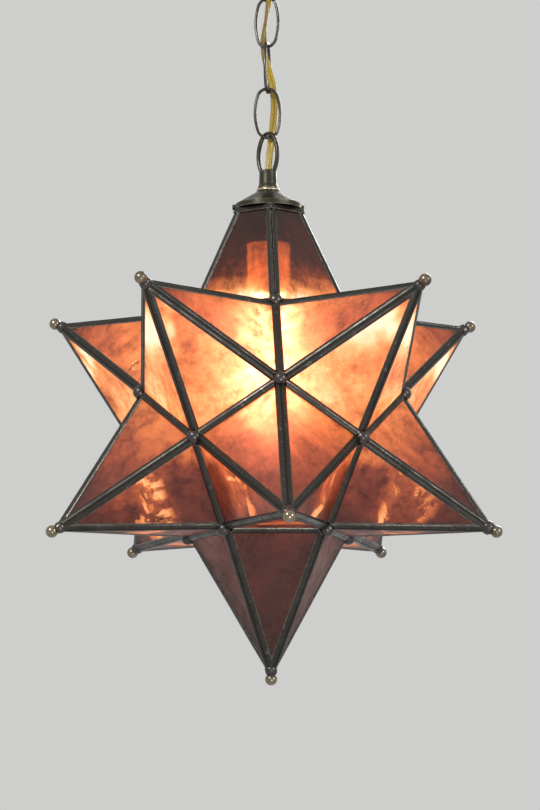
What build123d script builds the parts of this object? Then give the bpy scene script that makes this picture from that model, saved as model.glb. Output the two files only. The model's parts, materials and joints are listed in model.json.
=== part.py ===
from build123d import *
import math
import os

# A Moravian star pendant: sixty panes of antiqued glass in folded metal came, soldered into a
# twelve-pointed star. It hangs by a spun cap, a cast loop and an oval-link chain from a ceiling
# canopy, with a lampholder and a tubular bulb inside. Millimetres, +Z up. The origin is the middle
# of the canopy's rim, on the ceiling.

# ---- driving dimensions: the star, measured from its middle ----
spike_reach = 196.0          # middle to the point where the panes of a spike meet
junction_reach = 108.0       # middle to a corner where three spikes meet
tip_ball_dia = 9.5
tip_ball_rise = 4.0          # a tip ball's middle stands this far outside its point
junction_ball_dia = 11.2
junction_ball_rise = 2.4     # a junction ball's middle stands this far outside its corner
neck_corner_radius = 25.5    # the cut-off top spike: radius of its five corners at the neck
neck_height = 173.4          # height of the neck's top face above the middle

# ---- driving dimensions: glass and came ----
glass_thickness = 2.0
glass_play = 0.05            # between a pane's face and its channel
ridge_glass_edge = 2.6       # ridge line to the pane's edge
valley_glass_edge = 1.7      # valley line to the pane's edge
corner_nip = 6.0             # panes are nipped this far from a junction
channel_floor = 0.1          # pane's edge to the floor of its channel
bar_spare = 8.0              # each bar is drawn this much too long, then mitred
ridge_came_width = 4.3       # how far each ridge channel covers its pane
ridge_crown = 1.9            # height of a ridge channel's rounded back above the pane's middle
ridge_roll = 0.7             # drop of that rounded back at its edges
ridge_inside = 1.6           # depth of a ridge channel inside the star
ridge_groove_width = 1.0     # the line between the two channels of a ridge
ridge_groove_floor = 0.3     # depth of that line's floor under the ridge line
valley_bead_radius = 4.0
valley_bead_lift = 0.9       # the bead's middle lies this far outside the valley line
solder_gap = 0.04            # between the ends of bars that are soldered together

# ---- driving dimensions: neck of the star ----
neck_frame_height = 4.5
neck_frame_overhang = 2.7    # neck frame's corners outside the ridge line
neck_bore_radius = 18.4
neck_collar_wall = 1.4
neck_collar_height = 6.0
neck_glass_depth = 2.4       # how deep the top panes stand in the neck frame

# ---- driving dimensions: cap and what is screwed to it ----
cap_rim_radius = 26.8
cap_sheet = 1.0
cap_lip_height = 3.8
cap_cone_height = 10.4
cap_top_radius = 9.6
seat_gap = 0.1               # between pieces that rest on each other
ceiling_gap = 0.3            # pieces in the ceiling box stop this far under the ceiling
small_chamfer = 0.8
cap_screw_dia = 2.4
cap_screw_head_dia = 4.4
cap_screw_head_height = 1.8
cap_screw_slot = 0.7
check_ring_radius = 9.5
check_ring_height = 3.2
nipple_dia = 9.6             # lamp pipe
nipple_bore = 6.6
thread_play = 0.05
nipple_length = 41.0
nipple_entry = 8.0           # how far the lamp pipe is screwed into the hang loop
nut_across_flats = 14.0
nut_height = 3.0

# ---- driving dimensions: the two cast loops ----
loop_wire = 3.5
loop_half_width = 10.25      # to the middle of the wire
loop_reach = 30.5            # from the loop's foot to the middle of the wire at its far end
loop_widest = 13.0           # height of the widest place above the foot
loop_side_radius = 27.0
loop_wire_sunk = 1.0         # the wire's ends start this far inside the foot
hang_foot_radius = 8.2
hang_waist_radius = 7.0
hang_foot_height = 14.7
hang_flange_height = 1.2     # the plain edge that seats on the check ring
hang_flare_height = 3.5
hang_waist_taper = 0.3
hang_loop_turn = -47.0       # degrees about the axis
canopy_loop_turn = -30.0
canopy_barrel_radius = 11.0
canopy_barrel_height = 20.0
canopy_barrel_step = 1.8
canopy_barrel_show = 2.0     # thread seen under the collar ring
canopy_foot_height = 8.0

# ---- driving dimensions: chain ----
link_wire = 2.5
link_length = 43.0
link_width = 22.6
link_end_radius = 8.2        # to the middle of the wire, at the link's two ends
link_play = 0.3              # between the wires where two links bear
link_turns = [60.0, -30.0, 75.0, 0.0]    # degrees about the axis, from the ceiling down

# ---- driving dimensions: ceiling fitting ----
canopy_radius = 63.5
canopy_height = 25.0
canopy_sheet = 1.2
canopy_lip = 4.0
canopy_flat_radius = 20.0
canopy_knee_reach = 0.72     # where the dome's arc passes, as a share of its run
canopy_knee_depth = 0.62     # and as a share of its depth
canopy_hole_play = 0.75
collar_outer_radius = 15.5
collar_height = 4.8
crossbar_length = 101.6
crossbar_width = 19.0
crossbar_thickness = 2.0
crossbar_screw_spacing = 88.9
crossbar_slot_spacing = 69.9
crossbar_slot_length = 8.0
crossbar_hole_dia = 4.8
ceiling_nipple_length = 21.5
ground_screw_place = 22.0
ground_screw_dia = 4.0
ground_screw_head_dia = 8.0
ground_screw_head_height = 2.2
screw_slot_width = 0.9
screw_slot_depth = 0.8

# ---- driving dimensions: lampholder ----
socket_radius = 16.5
socket_shell_wall = 0.6
socket_shell_length = 45.0
socket_cap_wall = 0.7
socket_cap_skirt = 5.0
socket_cap_dome = 6.5
socket_dome_round = 3.5      # the dome's edge lies this far inside the skirt
socket_dome_fall = 1.2
socket_neck_radius = 7.0
socket_neck_height = 6.0
socket_fit = 0.1             # between the lampholder's nested pieces
liner_wall = 0.6
liner_show = 1.0             # the sleeve shows this far below the metal shell
interior_height = 8.0
interior_chamfer = 2.5
interior_depth = 6.0         # interior's top under the top of the shell
screw_shell_radius = 13.9
screw_shell_wall = 0.5
screw_shell_length = 28.0
contact_hole_radius = 6.0
contact_radius = 4.5
contact_drop = 3.0
contact_sheet = 0.8
contact_stem_radius = 1.6
terminal_screw_place = 10.0
terminal_screw_dia = 3.2
terminal_screw_length = 3.5
terminal_head_dia = 6.4
terminal_head_height = 2.0

# ---- driving dimensions: tubular bulb ----
bulb_radius = 16.0
bulb_length = 130.0
bulb_wall = 0.8
bulb_neck_radius = 12.5
bulb_neck_length = 8.0
bulb_shoulder_length = 16.0
bulb_neck_show = 3.0         # glass neck seen under the metal base
bulb_flank_share = 0.3       # how full the shoulder's two arcs are
bulb_base_radius = 13.1
bulb_base_length = 24.0
bulb_base_wall = 0.4
bulb_cone_radius = 9.0
bulb_cone_height = 3.0
bulb_insulator_height = 2.0
bulb_insulator_seat = 1.0    # how deep the insulator stands in the base
bulb_contact_slope = 1.0
bulb_contact_radius = 4.4
bulb_contact_height = 1.0
bulb_contact_gap = 0.15
stem_radius = 2.6
stem_length = 32.0
stem_drop = 0.5              # the stem's flare lies this far under the neck's rim
filament_wire = 0.8
filament_spread = 6.0
filament_drop = 26.0
filament_foot = 1.2          # where a wire leaves the stem, from the axis

# ---- driving dimensions: supply cord ----
cord_dia = 4.2               # a flat twin cord's average thickness
cord_lead = 4.0              # it leaves a pipe straight for this far
cord_bend_share = 0.45       # share of the shorter run that a bend may use
wiring_space = 2.0           # under the lamp pipe, inside the lampholder's cap

# ---- the star's other reaches ----
tip_reach = spike_reach + tip_ball_rise
dome_reach = junction_reach + junction_ball_rise

# ---- heights, worked out from the ceiling down ----
collar_top = -canopy_height - seat_gap
barrel_bottom = collar_top - collar_height - canopy_barrel_show
barrel_top = barrel_bottom + canopy_barrel_height
canopy_loop_foot = barrel_bottom - canopy_foot_height
canopy_loop_end = canopy_loop_foot - loop_reach

link_radius = (link_width - link_wire) / 2
link_span = link_length - link_wire
link_step = link_wire + link_play
loop_step = (link_wire + loop_wire) / 2 + link_play

link_tops = []
link_bottoms = []
wire_height = canopy_loop_end + loop_step
for turn in link_turns:
    link_tops.append(wire_height)
    link_bottoms.append(wire_height - link_span)
    wire_height = wire_height - link_span + link_step
hang_loop_end = link_bottoms[-1] + loop_step
hang_foot_top = hang_loop_end - loop_reach
check_ring_top = hang_foot_top - hang_foot_height
check_ring_bottom = check_ring_top - check_ring_height
cap_top = check_ring_bottom
cap_bottom = cap_top - cap_cone_height - cap_lip_height
neck_top = cap_bottom - seat_gap
star_height = neck_top - neck_height

nipple_top = check_ring_top + nipple_entry
nipple_bottom = nipple_top - nipple_length
nipple_radius = nipple_dia / 2
thread_radius = nipple_radius + thread_play
wireway_radius = nipple_bore / 2
socket_neck_bottom = nipple_bottom - wiring_space
socket_cap_shoulder = socket_neck_bottom - socket_cap_dome
socket_top = socket_cap_shoulder - socket_fit
socket_mouth = socket_top - socket_shell_length
interior_top = socket_top - interior_depth
interior_bottom = interior_top - interior_height
liner_outer = socket_radius - socket_shell_wall - socket_fit
liner_inner = liner_outer - liner_wall
contact_bottom = interior_bottom - contact_drop
bulb_top = contact_bottom - bulb_contact_gap
bulb_bottom = bulb_top - bulb_length
bulb_cone_top = bulb_top - bulb_contact_height
bulb_base_top = bulb_cone_top - bulb_insulator_height
bulb_base_bottom = bulb_base_top - bulb_base_length

up = Vector(0, 0, 1)


def save(node, *solids):
    """Write one named piece, or a group of like pieces, to its own file."""
    shape = solids[0] if len(solids) == 1 else Compound(children=list(solids))
    export_step(shape, f"parts/{node}.step")


def biggest(shape):
    return max(shape.solids(), key=lambda solid: solid.volume)


def turned(*points):
    """A solid of revolution about the axis from an outline of (radius, height) points."""
    outline = Polyline(*[(radius, 0, height) for radius, height in points], close=True)
    return biggest(revolve(make_face(outline), Axis.Z))


def rod(start, end, radius):
    span = Vector(*end) - Vector(*start)
    return extrude(Plane(origin=start, z_dir=span) * Circle(radius), span.length)


# ---- the star's lines ----
# Twelve spikes point as the faces of a dodecahedron do, one up, one down and two rings of five.
# Azimuth 0 is the front, -Y, and grows towards +X.

def from_middle(azimuth, elevation):
    flat = math.cos(math.radians(elevation))
    return Vector(
        flat * math.sin(math.radians(azimuth)),
        -flat * math.cos(math.radians(azimuth)),
        math.sin(math.radians(elevation)),
    )


fifth = 360 / 5
spike_elevation = math.degrees(math.atan(0.5))
spikes = {"top": up}
for number in range(5):
    spikes[f"upper_{number + 1}"] = from_middle((number + 0.5) * fifth, spike_elevation)
for number in range(5):
    spikes[f"lower_{number + 1}"] = from_middle(number * fifth, -spike_elevation)
spikes["bottom"] = -up


def are_neighbours(first, second):
    return abs(spikes[first].dot(spikes[second]) - 1 / math.sqrt(5)) < 0.01


def find_junctions():
    """Each corner of the dodecahedron, by the three spikes that meet there."""
    names = list(spikes)
    found = {}
    for a in range(12):
        for b in range(a + 1, 12):
            for c in range(b + 1, 12):
                trio = (names[a], names[b], names[c])
                pairs = [(trio[0], trio[1]), (trio[1], trio[2]), (trio[0], trio[2])]
                if all(are_neighbours(*pair) for pair in pairs):
                    outward = spikes[trio[0]] + spikes[trio[1]] + spikes[trio[2]]
                    found[trio] = outward.normalized()
    return found


junctions = find_junctions()
middle = Vector(0, 0, star_height)


def corners_round(spike):
    """The five junctions round a spike's foot, in order, seen from its tip."""
    axis = spikes[spike]
    own = [trio for trio in junctions if spike in trio]
    first = junctions[own[0]] - axis * junctions[own[0]].dot(axis)
    across = axis.cross(first)

    def bearing(trio):
        return math.atan2(junctions[trio].dot(across), junctions[trio].dot(first))

    return sorted(own, key=bearing)


def spike_end(spike, trio):
    """Where the ridge from a junction ends: at the spike's tip, or at the neck on the top spike."""
    if spike != "top":
        return middle + spikes[spike] * spike_reach
    flat = Vector(junctions[trio].X, junctions[trio].Y, 0).normalized()
    return middle + flat * neck_corner_radius + up * neck_height


def junction_point(trio):
    return middle + junctions[trio] * junction_reach


class PaneSide:
    """One pane of a spike: its two junctions, its own plane and its middle line."""

    def __init__(self, spike, left, right):
        self.spike = spike
        self.left = junction_point(left)
        self.right = junction_point(right)
        self.left_end = spike_end(spike, left)
        self.right_end = spike_end(spike, right)
        self.foot = (self.left + self.right) / 2
        self.head = (self.left_end + self.right_end) / 2
        along = (self.right - self.left).normalized()
        self.rise = (self.head - self.foot).normalized()
        self.outward = along.cross(self.rise).normalized()
        if self.outward.dot(self.foot - middle) < 0:
            self.outward = -self.outward


def panes_of(spike):
    ring = corners_round(spike)
    return {(ring[k], ring[(k + 1) % 5]): PaneSide(spike, ring[k], ring[(k + 1) % 5]) for k in range(5)}


panes = {spike: panes_of(spike) for spike in spikes}


def pane_of(spike, first, second):
    return panes[spike].get((first, second)) or panes[spike][(second, first)]


# ---- glass ----

def clip(points, place, inward):
    """Cut an outline by the line through place, keeping the side that inward points to."""
    kept = []
    for k, point in enumerate(points):
        after = points[(k + 1) % len(points)]
        here = (point - place).dot(inward)
        there = (after - place).dot(inward)
        if here >= 0:
            kept.append(point)
        if here * there < 0:
            kept.append(point + (after - point) * (here / (here - there)))
    return kept


def make_pane(side, thickness=glass_thickness, extra=0.0):
    """A flat pane, set back from its ridges and valley and nipped at the two junctions."""
    normal = side.outward
    inside = (side.foot + side.head) / 2
    points = [side.left, side.right, side.right_end, side.left_end]
    if side.spike != "top":
        points = points[:3]
    for start, end, inset in (
        (side.left, side.right, valley_glass_edge),
        (side.left, side.left_end, ridge_glass_edge),
        (side.right, side.right_end, ridge_glass_edge),
    ):
        inward = normal.cross(end - start).normalized()
        if inward.dot(inside - start) < 0:
            inward = -inward
        points = clip(points, start + inward * (inset - extra), inward)
    for corner, other, end in (
        (side.left, side.right, side.left_end),
        (side.right, side.left, side.right_end),
    ):
        bisector = ((other - corner).normalized() + (end - corner).normalized()).normalized()
        points = clip(points, corner + bisector * (corner_nip - extra), bisector)
    if side.spike == "top":
        neck_edge = neck_top - neck_frame_height + neck_glass_depth + extra
        points = clip(points, Vector(0, 0, neck_edge), -side.rise)
    back = normal * (-thickness / 2)
    outline = Polyline(*[point + back for point in points], close=True)
    return extrude(make_face(outline), amount=thickness, dir=normal)


# ---- came ----

def ridge_section(half_angle):
    """Two folded channels back to back, for panes that fall away at half_angle from the outward
    line. Each channel is drawn in its pane's own directions: along it, and out from it."""
    sine = math.sin(half_angle)
    cosine = math.cos(half_angle)

    def place(along, out, mirror):
        return (mirror * (along * sine + out * cosine), -along * cosine + out * sine)

    slot = glass_thickness / 2 + glass_play
    floor = ridge_glass_edge - channel_floor
    edge = ridge_crown - ridge_roll
    start = (ridge_groove_width / 2 - edge * cosine) / sine
    inner = ridge_inside * cosine / sine
    edges = []
    for mirror in (1, -1):
        groove = (mirror * ridge_groove_width / 2, -ridge_groove_floor)
        back = place(start, edge, mirror)
        crest = place((start + ridge_came_width) / 2, ridge_crown, mirror)
        front = place(ridge_came_width, edge, mirror)
        edges.append(Line((0, -ridge_groove_floor), groove))
        edges.append(Line(groove, back))
        edges.append(ThreePointArc(back, crest, front))
        walls = [
            front,
            place(ridge_came_width, slot, mirror),
            place(floor, slot, mirror),
            place(floor, -slot, mirror),
            place(ridge_came_width, -slot, mirror),
            place(ridge_came_width, -ridge_inside, mirror),
            place(inner, -ridge_inside, mirror),
        ]
        edges.append(Polyline(*walls))
    return make_face(edges)


def valley_section(half_angle):
    """A round bead between two panes that stand at half_angle from the outward line."""
    bead = Pos(0, valley_bead_lift) * Circle(valley_bead_radius)
    slot = glass_thickness + 2 * glass_play
    reach = 2 * valley_bead_radius
    floor = valley_glass_edge - channel_floor
    for mirror in (1, -1):
        angle = 90 - mirror * math.degrees(half_angle)
        bead -= Rot(0, 0, angle) * Pos(floor + reach / 2, 0) * Rectangle(reach, slot)
    return bead


def came_bar(start, end, first, second, section, cuts):
    """A bar of came from start to end between two panes, mitred against its neighbours."""
    line = (end - start).normalized()
    outward = (first.outward + second.outward).normalized()
    outward = (outward - line * outward.dot(line)).normalized()
    sideways = outward.cross(line)
    into = first.outward.cross(line)
    if into.dot((first.foot + first.head) / 2 - start) < 0:
        into = -into
    angle = math.acos(max(-1.0, min(1.0, abs(into.dot(outward)))))
    plane = Plane(origin=start - line * bar_spare, x_dir=sideways, z_dir=line)
    bar = extrude(plane * section(angle), (end - start).length + 2 * bar_spare)
    for point, direction in cuts:
        cut = Plane(origin=point + direction * solder_gap, z_dir=direction)
        bar = split(bar, bisect_by=cut, keep=Keep.TOP)
    return bar


def mitre(corner, pane, one_side, other_side, bar_side):
    """The cut through a pane's corner, halving the angle between the two bars that meet there."""
    bisector = ((one_side - corner).normalized() + (other_side - corner).normalized()).normalized()
    across = bisector.cross(pane.outward).normalized()
    if across.dot(bar_side - corner) < 0:
        across = -across
    return (corner, across)


def sector_cuts(trio, along):
    """The two cuts that keep a valley bar in its own third of a junction."""
    axis = junctions[trio]
    flat = (along - axis * along.dot(axis)).normalized()
    side = axis.cross(flat)
    for turn in (math.radians(60), math.radians(-60)):
        edge = flat * math.cos(turn) + side * math.sin(turn)
        inward = axis.cross(edge)
        yield (junction_point(trio), inward if inward.dot(flat) > 0 else -inward)


def ball(place, dia):
    return Pos(*place) * Sphere(dia / 2)


def make_ridge(spike, trio):
    ring = corners_round(spike)
    k = ring.index(trio)
    before, after = ring[k - 1], ring[(k + 1) % 5]
    first, second = pane_of(spike, before, trio), pane_of(spike, trio, after)
    foot = junction_point(trio)
    end = spike_end(spike, trio)
    cuts = [
        mitre(foot, first, junction_point(before), end, end),
        mitre(foot, second, junction_point(after), end, end),
    ]
    if spike == "top":
        cuts.append((Vector(0, 0, neck_top - neck_frame_height), -up))
    else:
        cuts.append(mitre(end, first, junction_point(before), foot, foot))
        cuts.append(mitre(end, second, junction_point(after), foot, foot))
    bar = came_bar(foot, end, first, second, ridge_section, cuts)
    bar -= ball(middle + junctions[trio] * dome_reach, junction_ball_dia + 2 * solder_gap)
    if spike != "top":
        bar -= ball(middle + spikes[spike] * tip_reach, tip_ball_dia + 2 * solder_gap)
    return biggest(bar)


def make_valley(first_trio, second_trio):
    start, end = junction_point(first_trio), junction_point(second_trio)
    shared = [spike for spike in first_trio if spike in second_trio]
    sides = [pane_of(spike, first_trio, second_trio) for spike in shared]
    cuts = []
    for spike, side in zip(shared, sides):
        cuts.append(mitre(start, side, end, spike_end(spike, first_trio), end))
        cuts.append(mitre(end, side, start, spike_end(spike, second_trio), start))
    cuts += [*sector_cuts(first_trio, end - start), *sector_cuts(second_trio, start - end)]
    bar = came_bar(start, end, sides[0], sides[1], valley_section, cuts)
    for trio in (first_trio, second_trio):
        bar -= ball(middle + junctions[trio] * dome_reach, junction_ball_dia + 2 * solder_gap)
    return biggest(bar)


def valleys():
    """Each pair of junctions that share two spikes, with the height of their middle."""
    trios = list(junctions)
    for k, first in enumerate(trios):
        for second in trios[k + 1:]:
            if len(set(first) & set(second)) == 2:
                yield first, second, (junctions[first] + junctions[second]).Z


def make_star():
    for spike in spikes:
        save(f"glass_{spike}", *[make_pane(side) for side in panes[spike].values()])
        save(f"ridges_{spike}", *[make_ridge(spike, trio) for trio in corners_round(spike)])
    upper = [(a, b) for a, b, height in valleys() if height > 0.01]
    lower = [(a, b) for a, b, height in valleys() if height < -0.01]
    level = [(a, b) for a, b, height in valleys() if abs(height) <= 0.01]
    save("valleys_upper", *[make_valley(*pair) for pair in upper])
    save("valleys_lower", *[make_valley(*pair) for pair in lower + level])
    tips = [axis for spike, axis in spikes.items() if spike != "top"]
    save("tip_balls", *[ball(middle + axis * tip_reach, tip_ball_dia) for axis in tips])
    corners = junctions.values()
    save("junction_balls", *[ball(middle + out * dome_reach, junction_ball_dia) for out in corners])


def make_neck_frame():
    """The pentagon that closes the top spike, with a round collar that stands up into the cap."""
    slope = (junction_point(corners_round("top")[0]) - middle)
    foot_radius = math.hypot(slope.X, slope.Y)
    lean = (foot_radius - neck_corner_radius) / (neck_height - slope.Z)
    faces = []
    for drop in (neck_frame_height, 0.0):
        radius = neck_corner_radius + drop * lean + neck_frame_overhang
        points = [(from_middle(k * fifth, 0) * radius) + up * (neck_top - drop) for k in range(5)]
        faces.append(make_face(Polyline(*points, close=True)))
    frame = loft(faces)
    frame += Pos(0, 0, neck_top + neck_collar_height / 2) * Cylinder(
        neck_bore_radius + neck_collar_wall, neck_collar_height
    )
    frame -= Pos(0, 0, neck_top) * Cylinder(neck_bore_radius, 4 * neck_collar_height)
    for side in panes["top"].values():
        frame -= make_pane(side, glass_thickness + 2 * glass_play, channel_floor)
    save("neck_frame", biggest(frame))


# ---- cap, check ring and lamp pipe ----

def make_cap():
    cone_foot = cap_bottom + cap_lip_height
    lean = math.atan2(cap_cone_height, cap_rim_radius - cap_top_radius)
    drop = cap_sheet / math.cos(lean)
    inner_rim = cap_rim_radius - cap_sheet
    inner_foot = cone_foot + cap_sheet * math.tan(lean) - drop
    cap = turned(
        (cap_rim_radius, cap_bottom),
        (cap_rim_radius, cone_foot),
        (cap_top_radius, cap_top),
        (thread_radius, cap_top),
        (thread_radius, cap_top - cap_sheet),
        (cap_top_radius + (drop - cap_sheet) / math.tan(lean), cap_top - cap_sheet),
        (inner_rim, inner_foot),
        (inner_rim, cap_bottom),
    )
    screw_height = cap_bottom + cap_lip_height / 2
    collar = neck_bore_radius + neck_collar_wall
    screws = []
    for side in (1, -1):
        hole_start = (side * (inner_rim - cap_sheet), 0, screw_height)
        hole_end = (side * (cap_rim_radius + cap_sheet), 0, screw_height)
        cap -= rod(hole_start, hole_end, cap_screw_dia / 2 + thread_play)
        head_seat = cap_rim_radius + seat_gap
        head_top = head_seat + cap_screw_head_height
        tip, seat, crown = ((side * x, 0, screw_height) for x in (collar + seat_gap, head_seat, head_top))
        shank = rod(tip, seat, cap_screw_dia / 2)
        head = rod(seat, crown, cap_screw_head_dia / 2)
        slot = Pos(side * head_top, 0, screw_height) * Box(
            cap_screw_head_height, cap_screw_slot, 2 * cap_screw_head_dia
        )
        screws.append(biggest(shank + head - slot))
    save("cap", biggest(cap))
    save("cap_screws", *screws)

    ring_radius = check_ring_height / 2
    ring = turned(
        (thread_radius, check_ring_bottom + seat_gap),
        (check_ring_radius - ring_radius, check_ring_bottom + seat_gap),
        (check_ring_radius - ring_radius, check_ring_top),
        (thread_radius, check_ring_top),
    )
    ring += Pos(0, 0, (check_ring_top + check_ring_bottom + seat_gap) / 2) * Torus(
        check_ring_radius - ring_radius, ring_radius - seat_gap / 2
    )
    bore = Pos(0, 0, check_ring_top) * Cylinder(thread_radius, 4 * check_ring_height)
    save("check_ring", biggest(ring - bore))

    save("nipple", turned(
        (wireway_radius, nipple_bottom),
        (nipple_radius, nipple_bottom),
        (nipple_radius, nipple_top),
        (wireway_radius, nipple_top),
    ))
    save("cap_nut", make_nut(cap_top - cap_sheet - seat_gap - nut_height))


def make_nut(bottom):
    blank = RegularPolygon(nut_across_flats / 2, 6, major_radius=False) - Circle(thread_radius)
    return extrude(Pos(0, 0, bottom) * blank, nut_height)


# ---- cast loops ----

def loop_bow():
    """The bow of a cast loop, standing on a foot at height 0, in the XZ plane: two long side arcs
    and a tighter one over the top, each tangent to the next."""
    height = loop_reach - loop_widest
    rest = loop_side_radius - height
    lift = ((loop_side_radius - loop_half_width) ** 2 - rest ** 2) / (2 * rest)
    side_x = loop_half_width - loop_side_radius
    top_radius = height - lift
    bearing = math.atan2(lift, -side_x)
    join_rise = loop_side_radius * math.sin(bearing)
    join = (side_x + loop_side_radius * math.cos(bearing), loop_widest + join_rise)
    crown = loop_widest + lift + top_radius
    sunk = loop_wire_sunk
    foot_x = side_x + math.sqrt(loop_side_radius ** 2 - (loop_widest + sunk) ** 2)
    wide = (loop_half_width, loop_widest)
    path = Wire([
        ThreePointArc((foot_x, 0, -sunk), (wide[0], 0, wide[1]), (join[0], 0, join[1])),
        ThreePointArc((join[0], 0, join[1]), (0, 0, crown), (-join[0], 0, join[1])),
        ThreePointArc((-join[0], 0, join[1]), (-wide[0], 0, wide[1]), (-foot_x, 0, -sunk)),
    ])
    section = Plane(origin=path @ 0, z_dir=path % 0) * Circle(loop_wire / 2)
    return sweep(section, path=path)


def make_hang_loop():
    foot = turned(
        (0, check_ring_top + seat_gap),
        (hang_foot_radius, check_ring_top + seat_gap),
        (hang_foot_radius, check_ring_top + hang_flange_height),
        (hang_waist_radius + hang_waist_taper, check_ring_top + hang_flare_height),
        (hang_waist_radius, hang_foot_top - hang_flare_height),
        (hang_waist_radius, hang_foot_top - small_chamfer),
        (hang_waist_radius - small_chamfer, hang_foot_top),
        (0, hang_foot_top),
    )
    bow = Pos(0, 0, hang_foot_top) * Rot(0, 0, hang_loop_turn) * loop_bow()
    loop = foot + bow
    loop -= Pos(0, 0, check_ring_top) * Cylinder(thread_radius, 2 * (nipple_entry + seat_gap))
    loop -= Pos(0, 0, hang_foot_top) * Cylinder(wireway_radius, 4 * hang_foot_height)
    save("hang_loop", biggest(loop))


def make_canopy_loop():
    barrel = turned(
        (0, barrel_top),
        (canopy_barrel_radius, barrel_top),
        (canopy_barrel_radius, barrel_bottom),
        (canopy_barrel_radius - canopy_barrel_step, barrel_bottom - canopy_barrel_step),
        (hang_waist_radius, canopy_loop_foot + small_chamfer),
        (hang_waist_radius - small_chamfer, canopy_loop_foot),
        (0, canopy_loop_foot),
    )
    bow = Pos(0, 0, canopy_loop_foot) * Rot(0, 0, canopy_loop_turn) * Rot(180, 0, 0) * loop_bow()
    loop = barrel + bow
    pocket = ceiling_nipple_length + barrel_top
    loop -= Pos(0, 0, barrel_top) * Cylinder(thread_radius, 2 * pocket)
    loop -= Pos(0, 0, canopy_loop_foot) * Cylinder(wireway_radius, 4 * canopy_barrel_height)
    save("canopy_loop", biggest(loop))


# ---- chain ----

def make_link(top, turn):
    """An oval link of round wire: two flat side arcs, each tangent to the two round ends."""
    rise = link_span / 2 - link_end_radius
    spread = link_radius - link_end_radius
    side_radius = (link_radius ** 2 + rise ** 2 - link_end_radius ** 2) / (2 * spread)
    share = side_radius / (side_radius - link_end_radius)
    join_x = link_radius - side_radius + (side_radius - link_radius) * share
    join_z = rise * share
    middle_height = top - link_span / 2
    high, low = middle_height + join_z, middle_height - join_z
    path = Wire([
        ThreePointArc((join_x, 0, low), (link_radius, 0, middle_height), (join_x, 0, high)),
        ThreePointArc((join_x, 0, high), (0, 0, top), (-join_x, 0, high)),
        ThreePointArc((-join_x, 0, high), (-link_radius, 0, middle_height), (-join_x, 0, low)),
        ThreePointArc((-join_x, 0, low), (0, 0, top - link_span), (join_x, 0, low)),
    ])
    section = Plane(origin=path @ 0, z_dir=path % 0) * Circle(link_wire / 2)
    return Rot(0, 0, turn) * sweep(section, path=path)


def make_chain():
    for number, (top, turn) in enumerate(zip(link_tops, link_turns)):
        save(f"chain_link_{len(link_tops) - number}", biggest(make_link(top, turn)))


# ---- ceiling fitting ----

def canopy_outline(inset):
    """The spun canopy's half profile, from its rim to the hole for the loop's barrel."""
    rim = canopy_radius - inset
    flat = canopy_flat_radius
    bottom = -canopy_height + inset
    return rim, -canopy_lip, flat, bottom


def make_canopy():
    def half(inset):
        rim, lip, flat, bottom = canopy_outline(inset)
        knee = (flat + (rim - flat) * canopy_knee_reach, bottom * canopy_knee_depth)
        return [
            Line((rim, 0, 0), (rim, 0, lip)),
            ThreePointArc((rim, 0, lip), (knee[0], 0, knee[1]), (flat, 0, bottom)),
        ]

    hole = canopy_barrel_radius + canopy_hole_play
    floor = -canopy_height + canopy_sheet
    outer = half(0)
    inner = half(canopy_sheet)
    edges = outer + inner + [
        Line((canopy_flat_radius, 0, -canopy_height), (hole, 0, -canopy_height)),
        Line((hole, 0, -canopy_height), (hole, 0, floor)),
        Line((hole, 0, floor), (canopy_flat_radius, 0, floor)),
        Line((canopy_radius - canopy_sheet, 0, 0), (canopy_radius, 0, 0)),
    ]
    save("canopy", biggest(revolve(make_face(edges), Axis.Z)))


def make_collar_ring():
    collar = turned(
        (canopy_barrel_radius + thread_play, collar_top),
        (collar_outer_radius, collar_top),
        (collar_outer_radius, collar_top - collar_height + small_chamfer),
        (collar_outer_radius - small_chamfer, collar_top - collar_height),
        (canopy_barrel_radius + thread_play, collar_top - collar_height),
    )
    save("collar_ring", collar)


def make_crossbar():
    bar = Pos(0, 0, -crossbar_thickness / 2) * Box(crossbar_length, crossbar_width, crossbar_thickness)
    bar = fillet(bar.edges().filter_by(Axis.Z), crossbar_width / 4)
    holes = [Circle(thread_radius)]
    for side in (1, -1):
        holes.append(Pos(side * crossbar_screw_spacing / 2, 0) * Circle(crossbar_hole_dia / 2))
        holes.append(
            Pos(side * crossbar_slot_spacing / 2, 0) * SlotOverall(crossbar_slot_length, crossbar_hole_dia)
        )
    ground = Pos(ground_screw_place, 0) * Circle(ground_screw_dia / 2 + thread_play)
    for hole in holes + [ground]:
        bar -= extrude(Pos(0, 0, -2 * crossbar_thickness) * hole, 4 * crossbar_thickness)
    save("crossbar", biggest(bar))

    head_top = -crossbar_thickness - seat_gap
    head = Pos(0, 0, head_top - ground_screw_head_height) * Circle(ground_screw_head_dia / 2)
    screw = extrude(head, ground_screw_head_height)
    screw += rod((0, 0, head_top - ground_screw_head_height / 2), (0, 0, -ceiling_gap), ground_screw_dia / 2)
    slot = Pos(0, 0, head_top - ground_screw_head_height) * Box(
        2 * ground_screw_head_dia, screw_slot_width, 2 * screw_slot_depth
    )
    save("ground_screw", Pos(ground_screw_place, 0, 0) * biggest(screw - slot))

    save("ceiling_nipple", turned(
        (wireway_radius, -ceiling_nipple_length),
        (nipple_radius, -ceiling_nipple_length),
        (nipple_radius, -ceiling_gap),
        (wireway_radius, -ceiling_gap),
    ))
    save("ceiling_nut", make_nut(-crossbar_thickness - seat_gap - nut_height))


# ---- lampholder ----

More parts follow.
